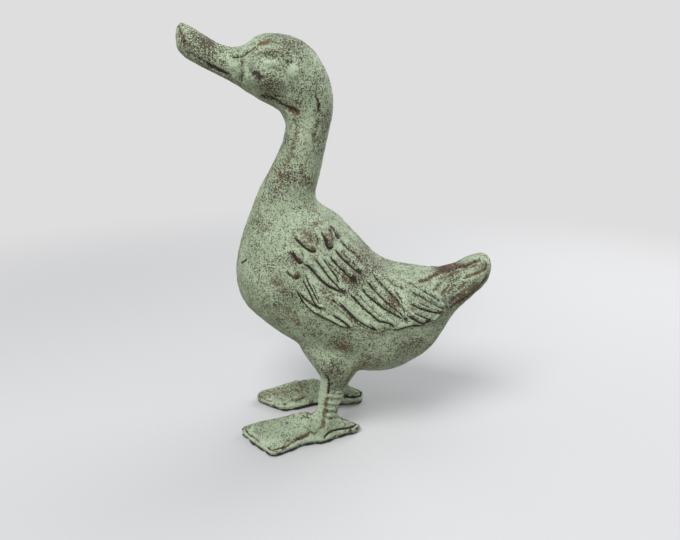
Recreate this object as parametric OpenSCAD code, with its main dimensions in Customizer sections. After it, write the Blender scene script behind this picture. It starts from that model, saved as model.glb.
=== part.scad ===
// Duck figurine in hollow cast iron: two half castings that meet at the mid-plane and are screwed together.
// The duck faces -X, its left side faces -Y, and it stands on Z = 0. Sizes are in millimetres.

/* [Body] */
// Length of the body from the breast to the tail's root
body_len = 150; // [138:1:162]
// Height of the body from the belly to the shoulders
body_h = 130; // [120:1:140]
// Greatest width of the body, over both castings
body_w = 92; // [80:1:104]
// Height of the belly above the ground
belly_z = 46; // [40:1:54]

/* [Wings] */
// Length of a wing from its shoulder to its tip
wing_len = 118; // [105:1:130]
// Depth of a wing, across its feathers
wing_depth = 62; // [50:1:74]
// Height that a wing stands out from the flank
wing_relief = 2.5; // [1:0.5:5]

/* [Neck and head] */
// Rise of the neck from the shoulders to the throat
neck_rise = 58; // [48:1:70]
// Depth of the neck at the throat, seen from the side
neck_depth = 33; // [30:1:36]
// Width of the neck where it is thinnest
neck_w = 29; // [26:1:34]
// Length of the head from the face to its back
head_len = 57; // [52:1:62]
// Height of the head from the throat to the crown
head_h = 54; // [49:1:59]
// Width of the head across the cheeks
head_w = 45; // [40:1:52]
// Length of the bill from the face to its tip
bill_len = 45; // [38:1:52]
// Width of the bill near its tip
bill_w = 23; // [18:1:28]

/* [Tail] */
// Length of the tail from its root to its tip
tail_len = 31; // [24:1:40]
// Width of the tail at its root
tail_w = 46; // [38:1:54]

/* [Legs and feet] */
// Distance between the centre lines of the legs
stance_w = 46; // [42:1:52]
// Width of a leg, seen from the front
leg_w = 12.5; // [10:0.5:15]
// Depth of a leg, seen from the side
leg_depth = 17; // [14:0.5:20]
// Length of a foot from its heel to its longest toe
foot_len = 88; // [75:1:100]
// Width of a foot across its web
foot_w = 52; // [44:1:58]
// Distance that both hind toes swing over to the right side
hind_swing = 8; // [0:1:10]
// Height of a foot at its instep
instep_h = 20; // [17:1:23]
// Thickness of a foot at its edge
foot_t = 5; // [3.5:0.5:7]

/* [Castings] */
// Thickness of the cast wall
wall = 5; // [4:0.5:6]
// Width of the rim where the two castings meet
rim_w = 6; // [5:0.5:7]
// Diameter of the screw bosses
boss_d = 14; // [12:0.5:16]
// Diameter of the locating pegs
peg_d = 5; // [4:0.5:6]
// Length of the locating pegs
peg_len = 4; // [3:0.5:6]
// Gap round a locating peg in its socket, and past its end
peg_clearance = 0.1; // [0.05:0.05:0.3]

/* [Screws] */
// Diameter of the screw threads
screw_d = 5; // [4:0.5:6]
// Diameter of the screw heads
screw_head_d = 9; // [8:0.5:10]
// Height of the screw heads
screw_head_h = 3.5; // [2.5:0.5:5]
// Depth of a screw head below the skin, at the middle of its recess
screw_head_sink = 1.5; // [0.5:0.5:3]
// Width of the slot in a screw head
slot_w = 1.4; // [1:0.2:2]
// Depth of the slot in a screw head
slot_depth = 1.6; // [1:0.2:2]
// Length of thread in the left casting
thread_len = 8; // [6:0.5:9]
// Gap between a screw and the hole that it passes through
hole_clearance = 0.4; // [0.2:0.1:0.6]
// Gap between a thread and its tapped hole
thread_clearance = 0.05; // [0.02:0.01:0.1]
// Length of the tapped hole past the screw's end
tap_runout = 1.5; // [1:0.5:2]

/* [Hidden] */

paint = [0.58, 0.68, 0.54];
iron = [0.42, 0.40, 0.36];

// Fineness of the skin: rings between two sections, facets down one side of a ring, facets inside
rings_per_section = 3;
skin_facets = 22;
core_facets = 11;

// The breast and the face lie this far ahead of the frame's origin, and the rest follows from them
breast_ahead = 74;
face_ahead = 62;
breast_x = -breast_ahead;
face_x = -face_ahead;
tail_x = breast_x + body_len;
throat_x = face_x + head_len * 0.46;
// The neck rises from just below the top of the shoulders
neck_foot_z = belly_z + body_h * 0.955;
throat_z = neck_foot_z + neck_rise;

// Sections from the bill's tip to the tail's tip. Each one is a line across the duck's outline on the
// mid-plane, from the top or rear edge to the lower or front edge, and a half width there. Places are
// shares of the length and height of the bill, head, neck, body or tail that the section belongs to.
function bill_section(top_reach, top_rise, low_reach, low_rise, width) =
    [face_x - bill_len * top_reach, throat_z + head_h * top_rise,
     face_x - bill_len * low_reach, throat_z + head_h * low_rise, bill_w / 2 * width];
function head_section(top_reach, top_rise, low_reach, low_rise, width) =
    [face_x + head_len * top_reach, throat_z + head_h * top_rise,
     face_x + head_len * low_reach, throat_z + head_h * low_rise, head_w / 2 * width];
function neck_section(top_reach, top_rise, low_reach, low_rise, width) =
    [throat_x + neck_depth * top_reach, neck_foot_z + neck_rise * top_rise,
     throat_x + neck_depth * low_reach, neck_foot_z + neck_rise * low_rise, neck_w / 2 * width];
function body_section(top_reach, top_rise, low_reach, low_rise, width) =
    [breast_x + body_len * top_reach, belly_z + body_h * top_rise,
     breast_x + body_len * low_reach, belly_z + body_h * low_rise, body_w / 2 * width];
function tail_section(top_reach, top_rise, low_reach, low_rise, width) =
    [tail_x + tail_len * top_reach, belly_z + body_h * top_rise,
     tail_x + tail_len * low_reach, belly_z + body_h * low_rise, tail_w / 2 * width];

sections = [
    bill_section(0.96, 1.10, 1.00, 0.89, 0.35),
    bill_section(0.89, 1.13, 0.95, 0.78, 0.80),
    bill_section(0.71, 1.05, 0.77, 0.67, 1.00),
    bill_section(0.44, 0.91, 0.48, 0.54, 0.95),
    bill_section(0.18, 0.84, 0.20, 0.43, 1.05),
    head_section(0.02, 0.87, -0.02, 0.34, 0.70),
    head_section(0.19, 0.98, 0.12, 0.25, 0.92),
    head_section(0.39, 1.00, 0.25, 0.18, 1.00),
    head_section(0.65, 0.93, 0.37, 0.12, 0.97),
    head_section(0.86, 0.74, 0.43, 0.06, 0.88),
    head_section(0.99, 0.46, 0.46, -0.03, 0.76),
    neck_section(1.00, 1.13, 0.00, 0.89, 1.03),
    neck_section(0.91, 0.88, -0.09, 0.72, 1.00),
    neck_section(0.79, 0.59, -0.27, 0.50, 1.06),
    neck_section(0.67, 0.29, -0.55, 0.22, 1.25),
    body_section(0.385, 0.990, 0.085, 0.925, 0.52),
    body_section(0.415, 0.945, 0.035, 0.770, 0.74),
    body_section(0.480, 0.900, 0.005, 0.590, 0.89),
    body_section(0.555, 0.810, 0.025, 0.445, 0.97),
    body_section(0.630, 0.720, 0.105, 0.340, 1.00),
    body_section(0.700, 0.650, 0.215, 0.245, 1.00),
    body_section(0.785, 0.620, 0.360, 0.140, 0.98),
    body_section(0.865, 0.610, 0.520, 0.045, 0.94),
    body_section(0.935, 0.605, 0.695, 0.020, 0.85),
    body_section(0.980, 0.610, 0.825, 0.070, 0.72),
    tail_section(0.12, 0.630, -0.33, 0.155, 1.20),
    tail_section(0.29, 0.645, -0.02, 0.275, 1.02),
    tail_section(0.45, 0.670, 0.22, 0.375, 0.94),
    tail_section(0.65, 0.690, 0.52, 0.455, 0.86),
    tail_section(0.81, 0.700, 0.76, 0.510, 0.74),
    tail_section(0.94, 0.690, 0.92, 0.555, 0.54),
    tail_section(1.00, 0.655, 1.00, 0.610, 0.22),
];
last_section = len(sections) - 1;
// The castings are hollow between these two sections, and solid in the bill and the end of the tail
hollow_from = 6;
hollow_to = 27;

// A smooth curve through the sections
function blend(a, b, c, d, t) =
    (2 * b + (c - a) * t + (2 * a - 5 * b + 4 * c - d) * t * t + (3 * b - a - 3 * c + d) * t * t * t) / 2;
function section_row(i) = sections[min(max(i, 0), last_section)];
function section(s) =
    let (i = min(floor(s), last_section - 1))
    blend(section_row(i - 1), section_row(i), section_row(i + 1), section_row(i + 2), s - i);

// A wing is a raised leaf on the flank, measured along and across its axis in the side view
wing_shoulder = [breast_x + body_len * 0.26, belly_z + body_h * 0.76];
wing_slope = -19;
wing_edge = 0.16;
function ramp(t) = let (c = min(max(t, 0), 1)) c * c * (3 - 2 * c);
function wing_height(x, z) =
    let (dx = x - wing_shoulder[0], dz = z - wing_shoulder[1])
    let (along = (dx * cos(wing_slope) + dz * sin(wing_slope)) / wing_len)
    let (across = dz * cos(wing_slope) - dx * sin(wing_slope))
    along <= 0 || along >= 1 ? 0 :
    let (half = wing_depth / 2 * pow(sin(180 * pow(along, 0.8)), 0.6))
    wing_relief * ramp((1 - abs(across) / half) / wing_edge);

// The skin is a rounded curve across each section, from its top (turn 0) to its bottom (turn 180)
roundness = 0.92;
function skin(s, turn) =
    let (q = section(s))
    let (x = (q[0] + q[2]) / 2 + (q[0] - q[2]) / 2 * cos(turn))
    let (z = (q[1] + q[3]) / 2 + (q[1] - q[3]) / 2 * cos(turn))
    let (side = pow(sin(turn), roundness))
    [x, -(q[4] + wing_height(x, z)) * side, z];
// The core inside follows the skin, a wall's thickness in
function core(s, turn) =
    let (q = section(s))
    let (half = norm([q[0] - q[2], q[1] - q[3]]) / 2)
    let (inner = (half - rim_w) / half)
    let (x = (q[0] + q[2]) / 2 + (q[0] - q[2]) / 2 * inner * cos(turn))
    let (z = (q[1] + q[3]) / 2 + (q[1] - q[3]) / 2 * inner * cos(turn))
    [x, -(q[4] - wall) * pow(sin(turn), roundness), z];

// A place on the mid-plane: a share of the way down a section, and how far the skin is from there
function inside_at(s, share) =
    let (q = section(s))
    [q[0] + (q[2] - q[0]) * share, q[1] + (q[3] - q[1]) * share];
function skin_reach(s, share) = -skin(s, acos(1 - 2 * share))[1];

// Screws [section, share down it] and locating pegs
neck_screw_at = [12, 0.5];
breast_screw_at = [17.5, 0.62];
flank_screw_at = [22.6, 0.6];
screws_at = [neck_screw_at, breast_screw_at, flank_screw_at];
pegs_at = [[3.7, 0.5], [28.3, 0.5]];
// Depth that a boss runs into the wall behind it
boss_bury = 1.5;
// Extra length that takes a cut, or a joined face, clear past the face that it meets
over = 1;
function seat_y(at) = skin_reach(at[0], at[1]) - screw_head_sink - screw_head_h;

// The leg, from inside the body down into the foot, as rows: [height, x of its middle, half depth, y of
// its middle, half width]. The thigh is set by its rise above the belly, as a share of the body's height,
// and the shank by a share of its length. The other values are shares of the leg's own depth and width.
leg_y = stance_w / 2;
ankle_z = 14;
function leg_oval(z, shift, depth, out, width) =
    [z, leg_depth * shift, leg_depth / 2 * depth, leg_y + leg_w * out, leg_w / 2 * width];
function thigh_row(rise, shift, depth, out, width) =
    leg_oval(belly_z + body_h * rise, shift, depth, out, width);
function shank_row(share, shift, depth, width) =
    leg_oval(ankle_z + (belly_z - ankle_z) * share, shift, depth, 0, width);
leg_rows = [
    thigh_row(0.275, -0.18, 1.70, 0.16, 1.16),
    thigh_row(0.210, -0.20, 2.65, 0.24, 1.96),
    thigh_row(0.140, -0.06, 2.18, 0.28, 2.04),
    thigh_row(0.075, 0.06, 1.76, 0.20, 1.80),
    thigh_row(0.030, 0.06, 1.35, 0.12, 1.50),
    thigh_row(-0.015, -0.05, 1.24, 0.08, 1.28),
    shank_row(0.75, -0.14, 1.18, 1.14),
    shank_row(0.38, -0.32, 1.00, 1.00),
    shank_row(0, -0.47, 1.06, 1.08),
    shank_row(-0.35, -0.53, 1.12, 1.16),
];
leg_rings = 3;
leg_facets = 20;
function leg_row(i) = leg_rows[min(max(i, 0), len(leg_rows) - 1)];
function leg_section(s) =
    let (i = min(floor(s), len(leg_rows) - 2))
    blend(leg_row(i - 1), leg_row(i), leg_row(i + 1), leg_row(i + 2), s - i);

// The foot, as rows from its heel to its toes: [share of its length, share of its width on the outer side of
// its axis, share of its width on the inner side, height of its ridge as a share of the instep]. Both hind
// toes swing over to the right side, so a casting's own foot takes a swing that is inward or outward.
heel_x = 18;
foot_out = 3;
foot_rows = [
    [0.00, -0.03, 0.11, 0.38],
    [0.03, 0.01, 0.15, 0.43],
    [0.12, 0.03, 0.16, 0.68],
    [0.20, 0.09, 0.15, 0.93],
    [0.30, 0.17, 0.13, 1.02],
    [0.42, 0.22, 0.11, 1.04],
    [0.55, 0.40, 0.23, 0.94],
    [0.67, 0.54, 0.33, 0.75],
    [0.74, 0.46, 0.34, 0.65],
    [0.84, 0.32, 0.26, 0.50],
    [0.94, 0.16, 0.16, 0.35],
    [1.00, 0.04, 0.06, 0.28],
];
last_foot_row = len(foot_rows) - 1;
foot_steps = 3;
hind_share = 0.3;
function foot_row(i) = foot_rows[min(max(i, 0), last_foot_row)];
function foot_section(s) =
    let (i = min(floor(s), last_foot_row - 1))
    blend(foot_row(i - 1), foot_row(i), foot_row(i + 1), foot_row(i + 2), s - i);
function foot_x(q) = heel_x - foot_len * q[0];
function foot_axis(q, swing) = -(leg_y + foot_out) + swing * max(1 - q[0] / hind_share, 0);
// Half the width of the ridge's flat top, and the share of the plate's width that it leaves bare at an edge
ridge_half = 1.2;
bare_edge = 0.05;

// One half of the hollow body on the left side: its skin, its core and the rim round the mid-plane
module half_shell() {
    rings = last_section * rings_per_section;
    first_core = hollow_from * rings_per_section;
    last_core = hollow_to * rings_per_section;
    skin_points = [for (i = [0:rings], j = [0:skin_facets])
        skin(i / rings_per_section, 180 * j / skin_facets)];
    core_points = [for (i = [first_core:last_core], j = [0:core_facets])
        core(i / rings_per_section, 180 * j / core_facets)];
    function o(i, j) = i * (skin_facets + 1) + j;
    function n(i, j) = len(skin_points) + (i - first_core) * (core_facets + 1) + j;
    function top(i) = o(i, 0);
    function low(i) = o(i, skin_facets);
    function core_top(i) = n(i, 0);
    function core_low(i) = n(i, core_facets);
    function quad(a, b, c, d) = [[a, b, c], [a, c, d]];
    function fan(ring) = [for (k = [1:len(ring) - 2]) [ring[0], ring[k], ring[k + 1]]];
    skin_faces = [for (i = [0:rings - 1], j = [0:skin_facets - 1])
        each quad(o(i, j), o(i + 1, j), o(i + 1, j + 1), o(i, j + 1))];
    core_faces = [for (i = [first_core:last_core - 1], j = [0:core_facets - 1])
        each quad(n(i, j), n(i, j + 1), n(i + 1, j + 1), n(i + 1, j))];
    end_faces = [
        each fan([for (j = [0:skin_facets]) o(0, j)]),
        each fan([for (j = [skin_facets:-1:0]) o(rings, j)]),
        each fan([for (j = [core_facets:-1:0]) n(first_core, j)]),
        each fan([for (j = [0:core_facets]) n(last_core, j)]),
    ];
    solid_rings = [for (i = [0:first_core - 2]) i, for (i = [last_core + 1:rings - 1]) i];
    rim_faces = [
        for (i = solid_rings) each quad(top(i + 1), top(i), low(i), low(i + 1)),
        for (i = [first_core:last_core - 1]) each quad(top(i + 1), top(i), core_top(i), core_top(i + 1)),
        for (i = [first_core:last_core - 1]) each quad(core_low(i + 1), core_low(i), low(i), low(i + 1)),
        each fan([top(first_core - 1), low(first_core - 1), low(first_core),
                  core_low(first_core), core_top(first_core), top(first_core)]),
        each fan([top(last_core + 1), top(last_core), core_top(last_core),
                  core_low(last_core), low(last_core), low(last_core + 1)]),
    ];
    polyhedron(concat(skin_points, core_points),
               concat(skin_faces, core_faces, end_faces, rim_faces), convexity = 12);
}

module leg() {
    rings = (len(leg_rows) - 1) * leg_rings;
    points = [for (i = [0:rings], j = [0:leg_facets - 1])
        let (q = leg_section(i / leg_rings), turn = 360 * j / leg_facets)
        [q[1] + q[2] * cos(turn), -q[3] - q[4] * sin(turn), q[0]]];
    function p(i, j) = i * leg_facets + j % leg_facets;
    faces = [
        for (i = [0:rings - 1], j = [0:leg_facets - 1])
            each [[p(i, j), p(i + 1, j + 1), p(i, j + 1)], [p(i, j), p(i + 1, j), p(i + 1, j + 1)]],
        for (j = [1:leg_facets - 2]) [p(0, 0), p(0, j), p(0, j + 1)],
        for (j = [1:leg_facets - 2]) [p(rings, 0), p(rings, j + 1), p(rings, j)],
    ];
    polyhedron(points, faces, convexity = 4);
}

// The foot: a flat plate, and webs that climb from its edges to the ridge along its middle
module foot(swing) {
    plate = [for (k = [0:last_foot_row * foot_steps]) foot_section(k / foot_steps)];
    outer_edge = [for (q = plate) [foot_x(q), foot_axis(q, swing) - foot_w * q[1]]];
    inner_edge = [for (q = plate) [foot_x(q), foot_axis(q, swing) + foot_w * q[2]]];
    count = len(plate);
    linear_extrude(height = foot_t)
        polygon(concat(outer_edge, [for (k = [count - 1:-1:0]) inner_edge[k]]));
    // The webs start and end a little way in from the heel and the toes
    ridge = [for (k = [1:last_foot_row * foot_steps - 1]) plate[k]];
    root_z = foot_t - over;
    cover = foot_w * (1 - bare_edge);
    points = [for (q = ridge) let (x = foot_x(q), y = foot_axis(q, swing), top_z = instep_h * q[3]) each [
        [x, y - cover * q[1] - ridge_half, root_z],
        [x, y - ridge_half, top_z],
        [x, y + ridge_half, top_z],
        [x, y + cover * q[2] + ridge_half, root_z],
    ]];
    sides = 4;
    last = len(ridge) - 1;
    function p(i, j) = i * sides + j % sides;
    faces = [
        for (i = [0:last - 1], j = [0:sides - 1])
            each [[p(i, j), p(i + 1, j + 1), p(i, j + 1)], [p(i, j), p(i + 1, j), p(i + 1, j + 1)]],
        [p(0, 0), p(0, 1), p(0, 2)], [p(0, 0), p(0, 2), p(0, 3)],
        [p(last, 0), p(last, 2), p(last, 1)], [p(last, 0), p(last, 3), p(last, 2)],
    ];
    polyhedron(points, faces, convexity = 6);
}

// A bar along Y, from y = from to y = to, at a place [x, z] on the mid-plane
module bar(place, from, to, d) {
    translate([place[0], min(from, to), place[1]])
        rotate([-90, 0, 0]) cylinder(h = abs(to - from), d = d, $fn = 48);
}

// One casting before it is drilled, as it lies on the left side
module blank(swing) {
    half_shell();
    leg();
    foot(swing);
    for (at = screws_at)
        bar(inside_at(at[0], at[1]), 0, -skin_reach(at[0], at[1]) + wall - boss_bury, boss_d);
}

module left_casting() {
    color(paint) {
        difference() {
            blank(hind_swing);
            for (at = screws_at)
                bar(inside_at(at[0], at[1]), over, -thread_len - tap_runout, screw_d + 2 * thread_clearance);
        }
        for (at = pegs_at)
            bar(inside_at(at[0], at[1]), -peg_len, peg_len, peg_d);
    }
}

module right_casting() {
    color(paint) difference() {
        mirror([0, 1, 0]) blank(-hind_swing);
        for (at = screws_at) {
            bar(inside_at(at[0], at[1]), -over, body_w, screw_d + 2 * hole_clearance);
            bar(inside_at(at[0], at[1]), seat_y(at), body_w, screw_head_d + 2 * hole_clearance);
        }
        for (at = pegs_at)
            bar(inside_at(at[0], at[1]), -over, peg_len + peg_clearance, peg_d + 2 * peg_clearance);
    }
}

// A slotted cheese head screw, seated in the right casting and threaded into the left one
module screw(at) {
    place = inside_at(at[0], at[1]);
    seat = seat_y(at);
    color(iron) difference() {
        union() {
            bar(place, -thread_len, seat, screw_d);
            bar(place, seat, seat + screw_head_h, screw_head_d);
        }
        translate([place[0] - screw_head_d, seat + screw_head_h - slot_depth, place[1] - slot_w / 2])
            cube([2 * screw_head_d, slot_depth + over, slot_w]);
    }
}
module neck_screw() screw(neck_screw_at);
module breast_screw() screw(breast_screw_at);
module flank_screw() screw(flank_screw_at);

left_casting();
right_casting();
neck_screw();
breast_screw();
flank_screw();
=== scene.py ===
"""Cast iron duck figurine: the looks of its two castings and its screws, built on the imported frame.

The castings' own outer skin is smoothed, modelled with feathers, bill, eyes, leg rings and toes, and parted
again at the mid-plane. Each half is then hollowed and drilled like its casting. Lengths in the code are
millimetres in the frame's axes until a mesh is made from them. The floor and the lamps are placed in metres.
"""

import math

import bmesh
import bpy
import numpy as np
import openvdb
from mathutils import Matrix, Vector
from mathutils.kdtree import KDTree


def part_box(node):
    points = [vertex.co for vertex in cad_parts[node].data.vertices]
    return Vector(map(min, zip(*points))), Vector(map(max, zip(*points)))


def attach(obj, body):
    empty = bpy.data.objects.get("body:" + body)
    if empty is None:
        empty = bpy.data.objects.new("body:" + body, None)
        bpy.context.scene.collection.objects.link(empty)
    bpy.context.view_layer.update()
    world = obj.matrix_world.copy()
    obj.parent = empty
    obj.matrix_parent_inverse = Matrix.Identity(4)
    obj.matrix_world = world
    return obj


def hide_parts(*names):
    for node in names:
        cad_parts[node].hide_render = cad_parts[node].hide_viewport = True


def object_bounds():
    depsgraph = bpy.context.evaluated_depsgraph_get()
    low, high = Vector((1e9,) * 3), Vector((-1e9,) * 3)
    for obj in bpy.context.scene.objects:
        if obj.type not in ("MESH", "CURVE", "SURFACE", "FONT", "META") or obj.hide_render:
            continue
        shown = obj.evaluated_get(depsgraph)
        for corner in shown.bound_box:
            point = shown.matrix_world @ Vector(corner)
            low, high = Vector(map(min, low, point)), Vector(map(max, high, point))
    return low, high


MM = 0.001
# Edge of a voxel of the skin's distance field, and of a cell of the lattice that the mesh is made on
VOXEL = 1.0
MESH_STEP = 1.5
# Voxels that the distance field reaches to each side of the skin
BAND = 7

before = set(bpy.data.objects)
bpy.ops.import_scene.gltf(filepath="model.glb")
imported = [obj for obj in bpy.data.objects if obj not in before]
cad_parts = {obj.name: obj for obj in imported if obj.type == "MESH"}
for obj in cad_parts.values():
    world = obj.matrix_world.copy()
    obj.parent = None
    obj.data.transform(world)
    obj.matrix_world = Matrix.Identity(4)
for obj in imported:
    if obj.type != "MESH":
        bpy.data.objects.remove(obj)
cad_low, cad_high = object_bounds()


# Small helpers

def ease(t):
    """A smooth step from 0 to 1."""
    t = np.clip(t, 0.0, 1.0)
    return t * t * (3.0 - 2.0 * t)


def ball(p, centre, radius, soft):
    """1 inside a ball, falling to 0 over the soft distance outside it."""
    return 1.0 - ease((np.linalg.norm(p - np.array(centre, float), axis=-1) - radius) / soft)


# Large numbers that scatter a lattice corner's three indices and the seed, and how many levels come out
SCATTER = np.array([73856093, 19349663, 83492791])
SCATTER_SEED = 2654435
SCATTER_AGAIN = 1274126177
SEED_SHIFT = 17.31
LEVELS = 10007


def value_noise(p, size, seed):
    """Smooth noise from -1 to 1 with lumps of about the given size."""
    q = p / size + seed * SEED_SHIFT
    cell = np.floor(q).astype(np.int64)
    f = q - cell
    f = f * f * (3.0 - 2.0 * f)
    total = np.zeros(len(p))
    for corner in range(8):
        step = np.array([corner & 1, corner >> 1 & 1, corner >> 2 & 1])
        h = np.bitwise_xor.reduce((cell + step) * SCATTER, axis=1) ^ (seed * SCATTER_SEED)
        h = (h ^ (h >> 13)) * SCATTER_AGAIN & 0x7FFFFFFF
        weight = np.where(step, f, 1.0 - f).prod(axis=1)
        total += weight * ((h % LEVELS) / (LEVELS // 2) - 1.0)
    return total


def smooth_line(points, steps=6):
    """A curve through the points, as a polyline."""
    p = np.array(points, float)
    p = np.vstack([2 * p[0] - p[1], p, 2 * p[-1] - p[-2]])
    out = []
    for a, b, c, d in zip(p, p[1:], p[2:], p[3:]):
        for k in range(steps):
            t = k / steps
            out.append((2 * b + (c - a) * t + (2 * a - 5 * b + 4 * c - d) * t ** 2
                        + (3 * b - a - 3 * c + d) * t ** 3) / 2)
    out.append(p[-2])
    return np.array(out)


def read(items, name, width=1, kind=float):
    """One value, or a row of values, of each item of a mesh."""
    values = np.empty(len(items) * width, kind)
    items.foreach_get(name, values)
    return values.reshape(-1, width) if width > 1 else values


def positions(mesh):
    return read(mesh.vertices, "co", 3) / MM


# The outer skin of the castings, as a distance field

# Points this near to the mid-plane lie on it
ON_PLANE = 0.02
# Radius of the disc that closes a screw's hole at the mid-plane
HOLE_COVER = 4.5
# Height below which the right side keeps its own shape
FEET_TOP = 40.0
# Blur of the feet, bill and tail, of most of the skin, and of the places in LOOSE
CRISP_BLUR = 0.7
PLAIN_BLUR = 2.0
LOOSE_BLUR = 4.0
# Where crisp skin gives way to plain, by height on the feet and by x on the bill and tail: (place, fade)
CRISP_FEET = (22.0, 14.0)
CRISP_BILL = (-64.0, 12.0)
CRISP_TAIL = (80.0, 10.0)
# Where the thigh, the wing and the ankle run into their surroundings: (centre, radius, fade, strength)
LOOSE = [((-4, 36, 76), 16, 16, 1.0), ((10, 46, 104), 36, 22, 1.0), ((-10, 24, 21), 5, 9, 0.8)]


def skin_triangles(node):
    """The outer skin of a casting without its mid-plane faces: (points in mm, triangles)."""
    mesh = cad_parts[node].data
    mesh.calc_loop_triangles()
    welded, index = np.unique(np.round(positions(mesh), 2), axis=0, return_inverse=True)
    tri = index.ravel()[read(mesh.loop_triangles, "vertices", 3, np.int64)]
    on_plane = (np.abs(welded[tri][:, :, 1]) < ON_PLANE).all(axis=1)
    tri = tri[~on_plane]
    group = np.arange(len(welded))
    while True:
        low = group[tri].min(axis=1)
        merged = group.copy()
        np.minimum.at(merged, tri.ravel(), np.repeat(low, 3))
        merged = merged[merged]
        if (merged == group).all():
            break
        group = merged
    outermost = group[np.abs(welded[:, 1]).argmax()]
    return welded, tri[group[tri[:, 0]] == outermost]


def disc(x, z, radius, sides=24):
    """A disc on the mid-plane."""
    turn = np.arange(sides) * 2 * math.pi / sides
    rim = np.stack([x + radius * np.cos(turn), np.zeros(sides), z + radius * np.sin(turn)], axis=1)
    fan = [[sides, k, (k + 1) % sides] for k in range(sides)]
    return np.vstack([rim, [[x, 0.0, z]]]), np.array(fan)


def screw_axis(node):
    """Where a screw's axis crosses the mid-plane, (x, z), and the y of its head's outer face."""
    low, high = (np.array(c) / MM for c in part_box(node))
    return (low[0] + high[0]) / 2, (low[2] + high[2]) / 2, high[1]


SCREWS = {name: screw_axis(name) for name in ("neck_screw", "breast_screw", "flank_screw")}


def blur(field, sigma):
    """A Gaussian blur of a voxel field, with sigma in mm."""
    reach = int(math.ceil(2.5 * sigma / VOXEL))
    weight = np.exp(-0.5 * (np.arange(-reach, reach + 1) * VOXEL / sigma) ** 2)
    weight /= weight.sum()
    for axis in range(3):
        padded = np.pad(field, [(reach, reach) if a == axis else (0, 0) for a in range(3)], mode="edge")
        field = sum(w * np.take(padded, np.arange(k, k + field.shape[axis]), axis=axis)
                    for k, w in enumerate(weight.astype(np.float32)))
    return field


def skin_field():
    """The distance field of the whole duck, closed and smoothed: (array, first voxel's index)."""
    parts = [skin_triangles("left_casting"), skin_triangles("right_casting")]
    parts += [disc(x, z, HOLE_COVER) for x, z, y in SCREWS.values()]
    start = np.cumsum([0] + [len(p) for p, t in parts])
    points = np.vstack([p for p, t in parts])
    triangles = np.vstack([t + s for (p, t), s in zip(parts, start)])
    transform = openvdb.createLinearTransform(VOXEL)
    grid = openvdb.FloatGrid.createLevelSetFromPolygons(
        points, triangles=triangles.astype(np.uint32), transform=transform, halfWidth=BAND)
    half = np.array([np.ceil(np.abs(points[:, a]).max() / VOXEL) + BAND + 2 for a in range(3)], int)
    low = np.array([-half[0], -half[1], -BAND - 2])
    shape = half - low + 1
    field = np.empty(shape, np.float32)
    grid.copyToArray(field, ijk=tuple(int(v) for v in low))
    # The left side stands for the right one above the feet, which leaves out the drilled holes
    feet = int(FEET_TOP / VOXEL) - low[2]
    field[:, half[1] + 1:, feet:] = field[:, :half[1], feet:][:, ::-1]
    x, y, z = (np.arange(shape[a]) * VOXEL + low[a] * VOXEL for a in range(3))
    at = np.stack(np.meshgrid(x, np.abs(y), z, indexing="ij"), axis=-1).astype(np.float32)
    fine, plain, broad = (blur(field, sigma) for sigma in (CRISP_BLUR, PLAIN_BLUR, LOOSE_BLUR))
    crisp = 1.0 - ease((at[..., 2] - CRISP_FEET[0]) / CRISP_FEET[1])
    crisp = np.maximum(crisp, ease((CRISP_BILL[0] - at[..., 0]) / CRISP_BILL[1]))
    crisp = np.maximum(crisp, ease((at[..., 0] - CRISP_TAIL[0]) / CRISP_TAIL[1]))
    loose = np.zeros(shape)
    for centre, radius, fade, strength in LOOSE:
        loose = np.maximum(loose, strength * ball(at, centre, radius, fade))
    field = plain + (fine - plain) * crisp
    field = field + (broad - field) * loose
    return field.astype(np.float32), low


def coarser(field, low):
    """The field on the lattice that the mesh is made on, and that lattice's first index."""
    first = []
    for axis in range(3):
        start = low[axis] * VOXEL
        stop = start + (field.shape[axis] - 1) * VOXEL
        index = np.arange(math.ceil(start / MESH_STEP), math.floor(stop / MESH_STEP) + 1)
        place = (index * MESH_STEP - start) / VOXEL
        cell = np.minimum(place.astype(int), field.shape[axis] - 2)
        part = (place - cell).astype(np.float32).reshape([-1 if a == axis else 1 for a in range(3)])
        field = np.take(field, cell, axis=axis) * (1 - part) + np.take(field, cell + 1, axis=axis) * part
        first.append(int(index[0]))
    return field, tuple(first)


def skin_mesh():
    """The smoothed skin as quads that face outwards: (points, quads)."""
    field, first = coarser(*skin_field())
    grid = openvdb.FloatGrid(float(BAND * VOXEL))
    grid.transform = openvdb.createLinearTransform(MESH_STEP)
    grid.copyFromArray(field, ijk=first)
    grid.gridClass = openvdb.GridClass.LEVEL_SET
    points, quads = grid.convertToQuads(0.0)
    return np.asarray(points, float), np.asarray(quads, np.int64)[:, ::-1]


# The modelling on the skin: most of it is placed by x and z, seen from the side

# How far from a groove's line the skin is changed
GROOVE_REACH = 6.0
# How far a groove's sides, and its stain with its painted shade, reach, as shares of its width
CUT_SHARE = 1.25
STAIN_AND_SHADE_SHARE = 0.98
# Distance of the ridge beside a groove from its line, the ridge's width, and how pale it is painted, as
# rubbed paint and painted highlight
RIDGE_AT = 2.2
RIDGE_WIDTH = 1.5
RIDGE_LIGHT = 0.6
# How far into its fade a groove starts and ends
END_LEVEL = 0.15
# Share of a raised edge's length over which it fades at each end
LIP_TAPER = 0.1


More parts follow.
